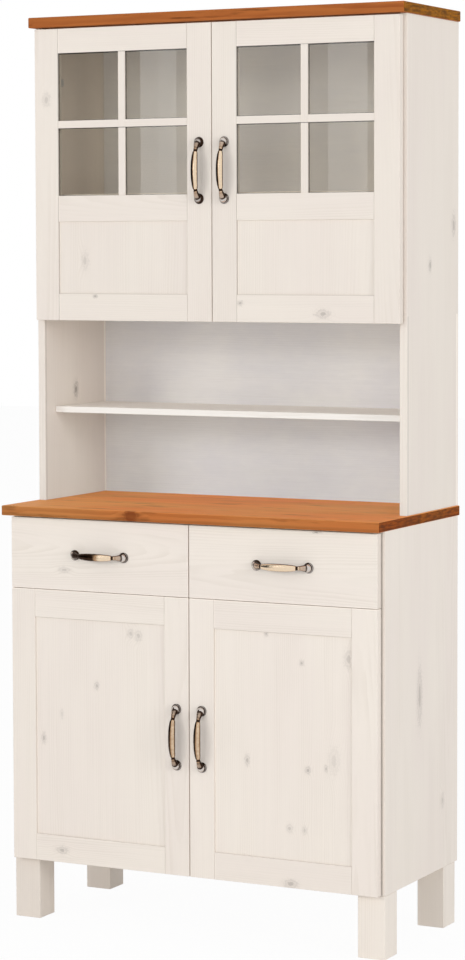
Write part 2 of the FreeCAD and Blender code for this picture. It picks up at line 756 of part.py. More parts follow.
# Drawers and their runners
def channel(label, side, back, opening, outward):
    """A folded channel along the drawer: a web at one face, with two flanges towards the other.

    The web lies at the width called back, and the flanges reach away from it by the runner's flange,
    outwards from the middle of the buffet or inwards. The opening is half the channel's height.
    """
    depth = ("runner_front - drawer_length", "runner_front")
    sign = 1 if outward else -1
    tip = f"({back}) + {sign} * (runner_sheet + runner_flange)"
    web = f"({back}) + {sign} * runner_sheet"
    whole = (back, tip) if outward else (tip, back)
    hollow = (web, f"{tip} + runner_play") if outward else (f"{tip} - runner_play", web)
    low, high = f"runner_middle - ({opening})", f"runner_middle + ({opening})"
    outer = block(label + "_outer", span(side, *whole), depth, (low, high))
    inner = block(label + "_inner", span(side, *hollow),
                  (f"{depth[0]} - runner_play", f"{depth[1]} + runner_play"),
                  (f"{low} + runner_sheet", f"{high} - runner_sheet"))
    return carved(label, outer, [inner])


TRACK_HALF = "runner_height / 2"
SLIDE_HALF = "runner_height / 2 - runner_sheet - runner_play"
tracks = []


def drawer(side, hand):
    """A drawer: applied front, box, bottom, pull and the sliding half of its runners."""
    label = f"drawer_{hand}"
    front_span = span(side, "door_near", "door_far")
    pull_across = f"{side} * drawer_middle"
    pull_height = "(drawer_front_foot + drawer_front_top) / 2"
    blank = board(label + "_front_board", front_span, ("base_door_back", "base_front"),
                  ("drawer_front_foot", "drawer_front_top"))
    slot_height = ("drawer_bottom_foot - groove_fit", "drawer_bottom_top + groove_fit")
    slot_span = span(side, "drawer_near + drawer_wall - drawer_groove_depth",
                     "drawer_far - drawer_wall + drawer_groove_depth")
    slot_depth = ("base_door_back - drawer_groove_depth", "base_door_back + drawer_groove_depth")
    slot = block(label + "_front_slot", slot_span, slot_depth, slot_height)
    bores = pull_bores(label, pull_across, "base_front", pull_height, upright=False)
    keep(carved(label + "_front_cut", blank, [slot] + bores), f"{label}_front")

    walls = []
    wall_height = ("drawer_wall_foot", "drawer_wall_top")
    for name, near, far in (("near", "drawer_near", "drawer_near + drawer_wall"),
                            ("far", "drawer_far - drawer_wall", "drawer_far")):
        wall = board(f"{label}_{name}_wall", span(side, near, far), ("drawer_back", "base_door_back"),
                     wall_height)
        wall_slot = block(f"{label}_{name}_wall_slot", slot_span,
                          ("drawer_back - drawer_wall", "base_door_back + drawer_wall"), slot_height)
        walls.append(carved(f"{label}_{name}_wall_cut", wall, [wall_slot]))
    rear = board(f"{label}_rear_wall", span(side, "drawer_near + drawer_wall", "drawer_far - drawer_wall"),
                 ("drawer_back", "drawer_back + drawer_wall"), ("drawer_bottom_top", "drawer_wall_top"))
    keep(group(label + "_walls", walls + [rear]), f"{label}_box")

    bottom_span = span(side, "drawer_near + drawer_wall - drawer_groove_depth + groove_play",
                       "drawer_far - drawer_wall + drawer_groove_depth - groove_play")
    keep(block(label + "_bottom_sheet", bottom_span,
               ("drawer_back", "base_door_back + drawer_groove_depth - groove_play"),
               ("drawer_bottom_foot", "drawer_bottom_top")), f"{label}_bottom")

    handle(f"{label}_handle", pull_across, "base_front", pull_height, upright=False)
    slides = [
        channel(f"{label}_near_slide", side, "drawer_near", SLIDE_HALF, outward=False),
        channel(f"{label}_far_slide", side, "drawer_far", SLIDE_HALF, outward=True),
    ]
    keep(group(label + "_slides", slides), f"{label}_runners")
    tracks.append(channel(f"{label}_near_track", side, "board_thickness / 2", TRACK_HALF, outward=True))
    tracks.append(channel(f"{label}_far_track", side, "inner_half", TRACK_HALF, outward=False))


for side, hand in HANDS:
    upper_door(side, hand)
    base_door(side, hand)
    drawer(side, hand)
keep(group("arms", arms), "hinge_arms")
keep(group("tracks", tracks), "drawer_tracks")

doc.recompute()

# Every object and every sub-part has to be sound before anything is written
for thing in doc.Objects:
    if "Invalid" in thing.State or "Error" in thing.State:
        raise RuntimeError(f"{thing.Label} failed: {thing.State}")
for node in nodes:
    if node.Shape.isNull() or not node.Shape.isValid() or not node.Shape.Solids:
        raise RuntimeError(f"{node.Label} has no valid solid")

os.makedirs("parts", exist_ok=True)
for node in nodes:
    node.Shape.exportStep(f"parts/{node.Label}.step")
print(len(nodes), "sub-parts written")
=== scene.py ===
import math
import random

import bmesh
import bpy
from mathutils import Matrix, Vector


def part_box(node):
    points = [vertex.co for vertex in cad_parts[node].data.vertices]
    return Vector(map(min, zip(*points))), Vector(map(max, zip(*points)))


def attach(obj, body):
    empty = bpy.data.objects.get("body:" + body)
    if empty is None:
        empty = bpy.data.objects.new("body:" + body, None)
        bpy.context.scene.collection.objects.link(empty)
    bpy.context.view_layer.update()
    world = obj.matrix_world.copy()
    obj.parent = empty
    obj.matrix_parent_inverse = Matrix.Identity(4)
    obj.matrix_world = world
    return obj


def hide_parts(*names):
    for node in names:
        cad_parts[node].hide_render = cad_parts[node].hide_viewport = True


# The dressed kitchen buffet: finishes for every board and fitting, modelled bow pulls, a pale floor,
# studio light and the camera. Metres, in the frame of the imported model.

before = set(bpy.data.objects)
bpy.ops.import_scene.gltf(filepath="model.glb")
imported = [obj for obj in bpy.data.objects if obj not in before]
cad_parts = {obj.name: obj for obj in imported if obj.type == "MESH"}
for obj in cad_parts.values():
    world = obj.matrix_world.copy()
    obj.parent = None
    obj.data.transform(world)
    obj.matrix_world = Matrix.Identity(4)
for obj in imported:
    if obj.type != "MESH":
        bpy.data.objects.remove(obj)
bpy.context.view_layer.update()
scene = bpy.context.scene
scene.view_settings.view_transform = "Standard"

MILLIMETRE = 0.001
WHITE = (1.0, 1.0, 1.0, 1.0)
# The share of a line's half width that has its full strength
LINE_CORE = 0.5


def linear(level):
    """One channel of a written colour, from 0 to 255, as light."""
    share = level / 255
    if share <= 0.04045:
        return share / 12.92
    return ((share + 0.055) / 1.055) ** 2.4


def colour(red, green, blue):
    return (linear(red), linear(green), linear(blue), 1.0)


class Shader:
    """A material or world in the making. Each method adds nodes and gives back their result."""

    def __init__(self, name, owner=None):
        self.owner = owner or bpy.data.materials.new(name)
        self.owner.use_nodes = True
        self.tree = self.owner.node_tree
        self.tree.nodes.clear()

    def add(self, kind, inputs=None, **settings):
        node = self.tree.nodes.new(kind)
        for key, value in settings.items():
            setattr(node, key, value)
        for key, value in (inputs or {}).items():
            if isinstance(value, bpy.types.NodeSocket):
                self.tree.links.new(value, node.inputs[key])
            else:
                node.inputs[key].default_value = value
        return node

    def given(self, kind):
        """What a point is given: Object is its place in the model's frame, Normal the way it faces."""
        return self.add("ShaderNodeTexCoord").outputs[kind]

    def math(self, operation, *values):
        return self.add("ShaderNodeMath", dict(enumerate(values)), operation=operation).outputs[0]

    def vector(self, operation, *values):
        node = self.add("ShaderNodeVectorMath", dict(enumerate(values)), operation=operation)
        return node.outputs["Value" if operation == "LENGTH" else "Vector"]

    def combine(self, x, y, z):
        return self.add("ShaderNodeCombineXYZ", {0: x, 1: y, 2: z}).outputs[0]

    def parts(self, vector):
        """The parts of a vector, by the name of their axis."""
        return dict(zip("XYZ", self.add("ShaderNodeSeparateXYZ", {0: vector}).outputs))

    def scaled(self, vector, factor):
        node = self.add("ShaderNodeVectorMath", {0: vector, "Scale": factor}, operation="SCALE")
        return node.outputs["Vector"]

    def noise(self, vector, detail=2.0, roughness=0.5):
        inputs = {"Vector": vector, "Scale": 1.0, "Detail": detail, "Roughness": roughness}
        return self.add("ShaderNodeTexNoise", inputs).outputs[0]

    def smooth(self, value, low, high, first=0.0, last=1.0):
        """A smooth step of the value, from first at low to last at high."""
        inputs = {"Value": value, "From Min": low, "From Max": high, "To Min": first, "To Max": last}
        return self.add("ShaderNodeMapRange", inputs, interpolation_type="SMOOTHSTEP").outputs[0]

    def mix(self, factor, first, second):
        node = self.add("ShaderNodeMix", {0: factor, 6: first, 7: second}, data_type="RGBA")
        return node.outputs[2]

    def bump(self, height, strength, distance):
        inputs = {"Strength": strength, "Distance": distance, "Height": height}
        return self.add("ShaderNodeBump", inputs).outputs[0]

    def within(self, value, low, high):
        """1 between two values, and 0 outside."""
        return self.math("MULTIPLY", self.math("GREATER_THAN", value, low),
                         self.math("LESS_THAN", value, high))

    def lines(self, place, rows):
        """What is left of the tone beside joints and edges: dark joint lines with painted shade in them,
        and painted shade and highlights along edges.

        A row is (axis, place, half width, share taken away), and then, for a line that holds on a
        stretch only, (axis, low, high). A share below nought lightens, as a painted highlight.
        """
        left = None
        for axis, spot, half, share, *stretch in rows:
            away = self.math("ABSOLUTE", self.math("SUBTRACT", place[axis], spot))
            mask = self.smooth(away, half, half * LINE_CORE, 0.0, share)
            if stretch:
                other, low, high = stretch
                mask = self.math("MULTIPLY", mask, self.within(place[other], low, high))
            tone = self.math("SUBTRACT", 1.0, mask)
            left = tone if left is None else self.math("MULTIPLY", left, tone)
        return left

    def finish(self, shader):
        self.add("ShaderNodeOutputMaterial", {"Surface": shader})
        return self.owner

    def principled(self, inputs):
        return self.finish(self.add("ShaderNodeBsdfPrincipled", inputs).outputs[0])


# Wood finishes. Lengths are in metres and shares are of one.
# - The board drifts between ground and cool, with patches of cloud.
# - ring is late wood, aside how far the log's heart lies to the board's side, lean how the log leans.
# - A knot has a rim, a core between two distances in its own radii, and a swell that bends the rings.
# - Streaks and fibres run along the grain, boards differ by board_tone, and dashes are short dark marks.
# - Glued staves are this wide and differ by stave_tone.
# - end and edge tint the board's ends and narrow edges, and mottle flecks the ends.
# - bounce is what the board throws onto its neighbours, where that is paler than the board looks.
WHITE_GLAZE = {
    "ground": colour(243, 234, 224), "cool": colour(241, 231, 222), "cloud": None,
    "ring": colour(218, 206, 192), "ring_share": 0.20, "aside": (0.12, 0.26), "lean": 0.02,
    "knot": colour(158, 149, 142), "knot_share": 0.90, "knot_rim": 0.5, "knot_core": (0.8, 0.3),
    "knot_swell": 1.3, "streak": 0.05, "fibre": 0.025, "fibre_width": 0.0007, "board_tone": 0.010,
    "dash": 0.0, "dash_size": (0.09, 0.009), "stave": 0.0, "stave_tone": 0.0,
    "end": colour(248, 247, 246), "edge": None, "mottle": 0.0,
    "roughness": 0.52, "bump": 0.2, "gloss": 0.35, "bounce": None,
}
WAVY_GLAZE = dict(WHITE_GLAZE, aside=(0.0, 0.04), lean=0.05, ring_share=0.24)
# The next three are paler copies of the white glaze that stand in for light: painted light on the niche
# shelf, the drawer deck and the low boards of the base. The fourth is a darker copy: painted shade on the
# left legs.
LIT_PALE_GLAZE = dict(WHITE_GLAZE, ground=colour(255, 250, 244), cool=colour(254, 249, 243))
LIT_LOW_GLAZE = dict(WHITE_GLAZE, ground=colour(247, 238, 228), cool=colour(245, 235, 226))
LIT_LOW_WAVY = dict(WAVY_GLAZE, ground=LIT_LOW_GLAZE["ground"], cool=LIT_LOW_GLAZE["cool"])
PAINTED_SHADE_GLAZE = dict(WHITE_GLAZE, ground=colour(236, 226, 215), cool=colour(234, 224, 214))
RAW_BEECH = dict(WHITE_GLAZE, ground=colour(214, 184, 148), cool=colour(206, 176, 142),
                 ring=colour(184, 150, 114))
THIN_BOARD = dict(WHITE_GLAZE, ground=colour(249, 246, 243), cool=colour(248, 246, 244),
                  cloud=colour(239, 237, 239), ring=colour(225, 219, 214), ring_share=0.12,
                  streak=0.06, fibre=0.07, fibre_width=0.0022, roughness=0.6, aside=(0.2, 0.4), lean=0.01)
# The worktop's ground is made paler to stand in for light that the hutch keeps off its top, and its darker
# edge tint brings the front edge back down: painted light on the top.
HONEY_OIL = {
    "ground": colour(255, 175, 102), "cool": colour(255, 158, 87), "cloud": None,
    "ring": colour(196, 108, 52), "ring_share": 0.36, "aside": (0.10, 0.30), "lean": 0.02,
    "knot": colour(124, 60, 26), "knot_share": 0.80, "knot_rim": 0.7, "knot_core": (1.1, 0.8),
    "knot_swell": 0.4, "streak": 0.28, "fibre": 0.08, "fibre_width": 0.0015, "board_tone": 0.0,
    "dash": 0.27, "dash_size": (0.11, 0.021), "stave": 0.063, "stave_tone": 0.13,
    "end": colour(140, 112, 40), "edge": colour(202, 195, 190), "mottle": 0.45,
    "roughness": 0.6, "bump": 0.3, "gloss": 0.08, "bounce": colour(234, 228, 222),
}
CAP_OIL = dict(HONEY_OIL, ground=colour(184, 108, 55), cool=colour(190, 113, 58),
               ring=colour(134, 60, 26), ring_share=0.5, streak=0.45, dash=0.45, dash_size=(0.12, 0.008),
               end=colour(198, 210, 70), edge=colour(252, 250, 246), bounce=colour(210, 198, 186))

# How far apart in the noise two boards may lie, so that no two are alike
NOISE_SPREAD = 40
# Features drawn out along the grain: length and width, then the noise's detail and roughness
WANDER_GRAIN = (0.45, 0.30)
RAGGED_GRAIN = (0.12, 0.012)
FADED_GRAIN = (0.30, 0.035)
BLOTCH_GRAIN = (0.40, 0.13)
CLOUD_GRAIN = (0.30, 0.20, 5.0, 0.65)
STREAK_GRAIN = (0.30, 0.008, 4.0, 0.6)
DASH_NOISE = (3.0, 0.6)
FIBRE_LENGTH = 0.035
# The levels of the noise between which blotches, clouds and dashes come up
BLOTCH_STEP = (0.35, 0.65)
CLOUD_STEP = (0.33, 0.67)
DASH_STEP = (0.58, 0.70)

# The log: how far its heart wanders and lies behind the board, and how much its lean varies
WANDER = 0.012
HEART_BEHIND = (0.03, 0.08)
LEAN_SPREAD = (0.5, 1.2)
# Its rings: their pitch, how ragged and how uneven they are in pitches, the stretch of one where the
# wood darkens, its late edge, and how they fade from place to place
RING_PITCH = 0.0042
RING_RAGGED = 0.9
RING_UNEVEN = 3.0
UNEVEN_PER_METRE = 45.0
DARKENING = (0.25, 0.88)
LATE_EDGE = (1.0, 0.90)
FADING = (0.35, 0.68, 0.12, 1.0)

# Knots, in their own radii: how far they bend the rings, the rim's inner and outer side, and the halo
KNOT_REACH = 3.4
RIM_INSIDE = (0.5, 0.85)
RIM_OUTSIDE = (1.5, 0.9)
HALO = (2.2, 0.6)
HALO_SHARE = 0.20
# The noise that makes their outline ragged, and what its level is multiplied by and raised by
KNOT_NOISE_PER_METRE = 210.0
KNOT_NOISE = (4.0, 0.65)
KNOT_RAGGED = (1.7, 0.15)

# How squarely a face has to look along an axis to count as an end or an edge
FACE_STEP = (0.6, 0.9)
# The flecks on the ends, across the board and through it
FLECKS_PER_METRE = (38.0, 230.0)
FLECK_NOISE = (3.0, 0.6)
FLECK_STEP = (0.32, 0.68)
# The surface: how much rings and fibres stand up, and how much streaks change the roughness
RING_RELIEF = 0.6
FIBRE_RELIEF = 0.5
SHEEN_SPREAD = 0.12
BUMP_DEPTH = 0.0005


class Board(Shader):
    """Sawn pine. Growth rings are cut from a log whose heart lies behind the board and leans a little.

    axes are the axes of the grain, the board's width and its thickness. turned is (axis, low, high):
    between those two places the grain runs across instead.
    """

    def __init__(self, name, look, axes, turned):
        super().__init__(name + "_finish")
        self.look = look
        self.axes = axes
        self.chance = random.Random(name)
        low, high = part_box(name)
        self.middle = dict(zip("XYZ", (low + high) / 2))
        self.place = self.parts(self.given("Object"))
        self.facing = self.parts(self.given("Normal"))
        self.along, self.across, self.through = (self.place[axis] for axis in axes)
        if turned:
            axis, near, far = turned
            inside = self.within(self.place[axis], near, far)
            swap = self.math("MULTIPLY", inside, self.math("SUBTRACT", self.across, self.along))
            self.along = self.math("ADD", self.along, swap)
            self.across = self.math("SUBTRACT", self.across, swap)
        self.offset = [self.chance.uniform(0, NOISE_SPREAD) for _ in range(3)]
        spot = self.combine(self.along, self.across, self.through)
        self.spot = self.vector("ADD", spot, self.offset)

    def grain(self, length, width, detail=2.0, roughness=0.5):
        """Noise drawn out along the grain: features this long and this wide."""
        stretched = self.vector("MULTIPLY", self.spot, (1 / length, 1 / width, 1 / width))
        return self.noise(stretched, detail, roughness)

    def from_heart(self):
        """How far each point lies from the log's heart."""
        wander = self.math("MULTIPLY", self.math("SUBTRACT", self.grain(*WANDER_GRAIN), 0.5), WANDER)
        aside = self.chance.choice((-1, 1)) * self.chance.uniform(*self.look["aside"])
        behind = self.chance.choice((-1, 1)) * self.chance.uniform(*HEART_BEHIND)
        lean = self.chance.uniform(*LEAN_SPREAD) * self.look["lean"] * self.chance.choice((-1, 1))
        middle_along, middle_across, middle_through = (self.middle[axis] for axis in self.axes)
        rise = self.math("MULTIPLY", self.math("SUBTRACT", self.along, middle_along), lean)
        x = self.math("ADD", self.math("SUBTRACT", self.across, middle_across + aside), wander)
        y = self.math("ADD", self.math("SUBTRACT", self.through, middle_through + behind), rise)
        return self.vector("LENGTH", self.combine(x, y, 0.0))

    def knotted(self, radius, knots):
        """The distance from the heart with the knots' swelling in it, and how strongly they show."""
        shown = None
        if knots:
            ragged = self.noise(self.scaled(self.spot, KNOT_NOISE_PER_METRE), *KNOT_NOISE)
            ragged = self.math("MULTIPLY_ADD", ragged, *KNOT_RAGGED)
        for along, across, size, stretch, strength, *through in knots:
            here = self.combine(self.along, self.across, self.through if through else 0.0)
            aside = self.vector("SUBTRACT", here, (along, across, through[0] if through else 0.0))
            aside = self.vector("MULTIPLY", aside, (1 / stretch, 1.0, 1.0))
            away = self.vector("LENGTH", aside)
            swell = self.smooth(away, size * KNOT_REACH, 0.0, 0.0, size * self.look["knot_swell"])
            radius = self.math("ADD", radius, swell)
            away = self.math("MULTIPLY", away, ragged)
            rim = self.math("MULTIPLY", self.reaching(away, size, RIM_INSIDE, 1.0),
                            self.reaching(away, size, RIM_OUTSIDE, strength * self.look["knot_rim"]))
            core = self.reaching(away, size, self.look["knot_core"], strength)
            halo = self.reaching(away, size, HALO, strength * HALO_SHARE)
            mark = self.math("MAXIMUM", self.math("MAXIMUM", core, rim), halo)
            shown = mark if shown is None else self.math("MAXIMUM", shown, mark)
        return radius, shown

    def reaching(self, away, size, reach, share):
        """A smooth step from nought to the share, between two distances in a knot's radii."""
        return self.smooth(away, size * reach[0], size * reach[1], 0.0, share)

    def rings(self, radius):
        """How much late wood shows: each ring is pale and darkens to a crisp late edge."""
        ragged = self.math("MULTIPLY", self.math("SUBTRACT", self.grain(*RAGGED_GRAIN), 0.5), RING_RAGGED)
        uneven = self.combine(self.math("MULTIPLY", radius, UNEVEN_PER_METRE), self.offset[0], 0.0)
        phase = self.math("ADD", self.math("DIVIDE", radius, RING_PITCH), ragged)
        phase = self.math("ADD", phase, self.math("MULTIPLY", self.noise(uneven), RING_UNEVEN))
        ring = self.math("FRACT", phase)
        line = self.math("MULTIPLY", self.smooth(ring, *DARKENING), self.smooth(ring, *LATE_EDGE))
        return self.math("MULTIPLY", line, self.smooth(self.grain(*FADED_GRAIN), *FADING))

    def ground(self, line):
        """The wood's colour with its blotches, clouds and rings."""
        look = self.look
        blotch = self.smooth(self.grain(*BLOTCH_GRAIN), *BLOTCH_STEP)
        body = self.mix(blotch, look["ground"], look["cool"])
        if look["cloud"]:
            cloud = self.smooth(self.grain(*CLOUD_GRAIN), *CLOUD_STEP)
            body = self.mix(cloud, body, look["cloud"])
        return self.mix(self.math("MULTIPLY", line, look["ring_share"]), body, look["ring"])

    def tint(self):
        """What the ends and the narrow edges are multiplied by."""
        look = self.look
        end_tint = look["end"]
        if look["mottle"]:
            flecks = self.combine(self.math("MULTIPLY", self.across, FLECKS_PER_METRE[0]),
                                  self.math("MULTIPLY", self.through, FLECKS_PER_METRE[1]), 0.0)
            flecks = self.smooth(self.noise(flecks, *FLECK_NOISE), *FLECK_STEP,
                                 1 - look["mottle"], 1 + look["mottle"])
            end_tint = self.scaled(end_tint[:3], flecks)
        along, across, _ = self.axes
        tint = self.mix(self.faces(along), WHITE, end_tint)
        return self.mix(self.faces(across), tint, look["edge"]) if look["edge"] else tint

    def faces(self, axis):
        """1 where the board faces along an axis, either way."""
        return self.smooth(self.math("ABSOLUTE", self.facing[axis]), *FACE_STEP)

    def shade(self, streak, fibre, joints_and_painted_light):
        """How bright the board is: its own tone, streaks, fibres, staves, dashes, and its joint lines with
        the painted shade and highlights beside them.
        """
        look = self.look
        plain = 1 - (look["streak"] + look["fibre"]) / 2 + self.chance.uniform(-1, 1) * look["board_tone"]
        shade = self.math("MULTIPLY_ADD", streak, look["streak"], plain)
        shade = self.math("MULTIPLY_ADD", fibre, look["fibre"], shade)
        if look["stave"]:
            number = self.math("FLOOR", self.math("DIVIDE", self.across, look["stave"]))
            tone = self.add("ShaderNodeTexWhiteNoise", {"W": number}, noise_dimensions="1D")
            tone = self.math("SUBTRACT", tone.outputs["Value"], 0.5)
            shade = self.math("MULTIPLY_ADD", tone, look["stave_tone"], shade)
        if look["dash"]:
            dash = self.grain(*look["dash_size"], *DASH_NOISE)
            shade = self.math("SUBTRACT", shade, self.smooth(dash, *DASH_STEP, 0.0, look["dash"]))
        if joints_and_painted_light:
            shade = self.math("MULTIPLY", shade, self.lines(self.place, joints_and_painted_light))
        return shade


def wood(name, look, axes, knots=(), turned=None, joints_and_painted_light=()):
    """The finish of one board. Knots are rows of KNOTS, and the rows for lines() give its dark joint lines,
    painted shade and painted highlights.
    """
    board = Board(name, look, axes, turned)
    radius, knots_shown = board.knotted(board.from_heart(), knots)
    line = board.rings(radius)
    streak = board.grain(*STREAK_GRAIN)
    fibre = board.grain(FIBRE_LENGTH, look["fibre_width"])
    body = board.vector("MULTIPLY", board.ground(line), board.tint())
    body = board.scaled(body, board.shade(streak, fibre, joints_and_painted_light))
    if knots_shown is not None:
        body = board.mix(board.math("MULTIPLY", knots_shown, look["knot_share"]), body, look["knot"])
    if look["bounce"]:
        thrown = board.add("ShaderNodeLightPath").outputs["Is Diffuse Ray"]
        body = board.mix(thrown, body, look["bounce"])
    relief = board.math("MULTIPLY_ADD", line, RING_RELIEF, board.math("MULTIPLY", fibre, FIBRE_RELIEF))
    return board.principled({
        "Base Color": body,
        "Roughness": board.math("MULTIPLY_ADD", streak, SHEEN_SPREAD, look["roughness"] - SHEEN_SPREAD / 2),
        "Specular IOR Level": look["gloss"],
        "Normal": board.bump(relief, look["bump"], BUMP_DEPTH),
    })


# Metals, plastic and glass
CRYSTALS_PER_METRE = 220.0
RUBBING_PER_METRE = (90.0, 90.0, 900.0)
MOULD_GRAINS_PER_METRE = 1500.0
BRASS_CLOUDS_PER_METRE = 160.0
BRUSHING_PER_METRE = 900.0
BRASS_CLOUD_SHARE = 0.3
# The levels of the noise between which a surface goes from its smoother to its rougher end
ROUGH_STEP = (0.2, 0.8)
# How rubbed the brass is where its dark patina and painted dark reflection end, and where its bright metal
# begins
DARK_STEP = (0.12, 0.42)
BRIGHT_STEP = (0.45, 0.85)


def zinc_steel(name):
    """Zinc-plated sheet: pale grey with faint crystals and rubbing marks."""
    shader = Shader(name + "_finish")
    place = shader.given("Object")
    crystals = shader.add("ShaderNodeTexVoronoi", {"Vector": place, "Scale": CRYSTALS_PER_METRE})
    tone = shader.parts(crystals.outputs["Color"])["X"]
    rubbed = shader.noise(shader.vector("MULTIPLY", place, RUBBING_PER_METRE), 3.0)
    blend = shader.math("MULTIPLY_ADD", rubbed, 0.5, shader.math("MULTIPLY", tone, 0.5))
    return shader.principled({
        "Base Color": shader.mix(blend, colour(190, 193, 196), colour(224, 225, 224)),
        "Metallic": 0.8,
        "Roughness": shader.smooth(blend, *ROUGH_STEP, 0.28, 0.42),
    })


def plastic(name):
    """Satin white moulded plastic, for the pegs under the shelves."""
    shader = Shader(name + "_finish")
    grain = shader.noise(shader.scaled(shader.given("Object"), MOULD_GRAINS_PER_METRE))
    return shader.principled({
        "Base Color": colour(238, 230, 221),
        "Roughness": shader.smooth(grain, *ROUGH_STEP, 0.38, 0.48),
        "Normal": shader.bump(grain, 0.1, 0.0001),
    })


def antique_brass(name):
    """Satin brass grips and nickel-grey rosettes. The first attribute holds rubbed metal and dark tarnish
    in the recesses, and also painted shade and dark reflection on the sides and towards the bow.
    """
    shader = Shader(name)
    wear_and_shade = shader.add("ShaderNodeAttribute", attribute_name="wear_and_shade").outputs["Fac"]
    silver = shader.add("ShaderNodeAttribute", attribute_name="silver").outputs["Fac"]
    place = shader.given("Object")
    cloud = shader.noise(shader.scaled(place, BRASS_CLOUDS_PER_METRE), 3.0, 0.6)
    brushed = shader.noise(shader.scaled(place, BRUSHING_PER_METRE))
    cloud = shader.math("MULTIPLY", shader.math("SUBTRACT", cloud, 0.5), BRASS_CLOUD_SHARE)
    wear_and_shade = shader.math("ADD", wear_and_shade, cloud)
    metal = shader.mix(shader.smooth(wear_and_shade, *BRIGHT_STEP), colour(172, 138, 106), colour(237, 214, 186))
    metal = shader.mix(silver, metal, colour(208, 200, 194))
    return shader.principled({
        "Base Color": shader.mix(shader.smooth(wear_and_shade, *DARK_STEP), colour(52, 35, 24), metal),
        "Metallic": 1.0,
        "Roughness": shader.smooth(silver, 0.0, 1.0, 0.26, 0.14),
        "Normal": shader.bump(brushed, 0.08, 0.0002),
    })


def clear_glass(name, rows):
    """Float glass that lets lamps through to what is behind it. rows darken it beside the bars, as painted
    shade.
    """
    shader = Shader(name)
    path = shader.add("ShaderNodeLightPath")
    place = shader.parts(shader.given("Object"))
    from_lamp = shader.math("MAXIMUM", path.outputs["Is Shadow Ray"], path.outputs["Is Diffuse Ray"])
    glass = shader.add("ShaderNodeBsdfPrincipled", {
        "Base Color": shader.scaled(colour(247, 244, 236)[:3], shader.lines(place, rows)),
        "Roughness": 0.0,
        "IOR": 1.5,
        "Transmission Weight": 1.0,
    }).outputs[0]
    clear = shader.add("ShaderNodeBsdfTransparent", {"Color": colour(244, 243, 240)}).outputs[0]
    return shader.finish(shader.add("ShaderNodeMixShader", {0: from_lamp, 1: glass, 2: clear}).outputs[0])


# Where the knots show, in metres in the frame of the model: along the grain, across it, the knot's
# radius, how many times longer than wide it is, how strong, and, where one lies inside the board, the
# place through it
KNOTS = {
    "base_door_left_panel": (
        (0.575, -0.127, 0.006, 1.3, 0.42), (0.572, -0.110, 0.007, 1.3, 0.4),
        (0.470, -0.202, 0.004, 1.8, 0.6), (0.360, -0.321, 0.0045, 1.9, 0.6),
        (0.410, -0.280, 0.003, 3.0, 0.3),
    ),
    "base_door_right_panel": (
        (0.542, 0.234, 0.004, 1.1, 0.6), (0.555, 0.330, 0.008, 1.8, 0.42),
        (0.352, 0.121, 0.0045, 2.0, 0.6), (0.343, 0.247, 0.005, 1.2, 0.6),
        (0.349, 0.284, 0.0035, 1.8, 0.5), (0.365, 0.300, 0.010, 2.2, 0.24),
        (0.231, 0.209, 0.006, 1.2, 0.4), (0.230, 0.240, 0.0045, 1.5, 0.36),
        (0.592, 0.161, 0.004, 1.0, 0.6),
    ),
    "base_door_left_rails": ((-0.280, 0.144, 0.006, 1.8, 0.6),),
    "base_door_right_rails": ((0.213, 0.128, 0.007, 1.8, 0.6),),
    "drawer_left_front": ((-0.271, 0.690, 0.005, 2.2, 0.45),),
    "drawer_right_front": ((0.266, 0.786, 0.002, 4.0, 0.9),),
    "base_side_right": ((0.467, 0.009, 0.010, 4.5, 0.55), (0.250, 0.120, 0.006, 2.0, 0.4)),
    "base_side_left": ((0.520, 0.050, 0.008, 3.0, 0.5), (0.300, -0.080, 0.006, 1.8, 0.5)),
    "hutch_side_right": ((1.274, 0.056, 0.006, 1.8, 0.7), (1.349, 0.170, 0.008, 2.2, 0.6)),
    "hutch_side_left": ((1.025, 0.069, 0.0075, 1.8, 1.0),),
    "upper_door_left_stiles": ((1.596, -0.363, 0.0075, 1.5, 0.4),),
    "upper_door_left_rails": ((-0.256, 1.2145, 0.003, 1.6, 0.8),),
    "upper_door_right_rails": ((0.233, 1.184, 0.007, 1.8, 0.6), (0.060, 1.203, 0.004, 1.5, 0.6)),
    "upper_door_left_panel": ((1.283, -0.280, 0.007, 2.2, 0.35),),
    "worktop": ((-0.114, -0.187, 0.0105, 1.3, 1.0, 0.8015),),
    "hutch_cap": ((0.330, -0.134, 0.006, 1.6, 0.6),),
}

# The axes of a board's grain, width and thickness
UPRIGHT_FRONT = ("Z", "X", "Y")
UPRIGHT_SIDE = ("Z", "Y", "X")
LONG_FRONT = ("X", "Z", "Y")
LONG_FLAT = ("X", "Y", "Z")
DEEP_SIDE = ("Y", "Z", "X")

# Across a door, from the buffet's middle: where its inner stile ends and its outer one begins, and its
# outer edge. Upwards: the window, the middle of the crossbar, and the niche.
NEAR_EDGE = 0.0529
FAR_EDGE = 0.337
DOOR_EDGE = 0.389
WINDOW_FOOT = 1.4095
WINDOW_HEAD = 1.685
BAR_HALF = 0.0075
BAR_LEVEL = (WINDOW_FOOT + WINDOW_HEAD) / 2
NICHE = (0.811, 1.18)

# For each kind of door, the finishes of its upright boards and its rails, and the height of its low
# panel's foot and head with the half width and share of the line there. shown is the line of an upright
# joint whose side shows to the camera. These lines are dark joints with painted shade in them, and a
# share below nought is a painted highlight.
DOORS = {
    "upper_door": {
        "upright": WHITE_GLAZE, "rail": WAVY_GLAZE, "shown": (0.0007, 0.26),
        "foot": (1.219, 0.0007, 0.18), "head": (1.359, 0.0007, -0.01),
    },
    "base_door": {
        "upright": LIT_LOW_GLAZE, "rail": LIT_LOW_WAVY, "shown": (0.0006, 0.09),
        "foot": (0.172, 0.0007, 0.12), "head": (0.5955, 0.0007, 0.18),
    },
}
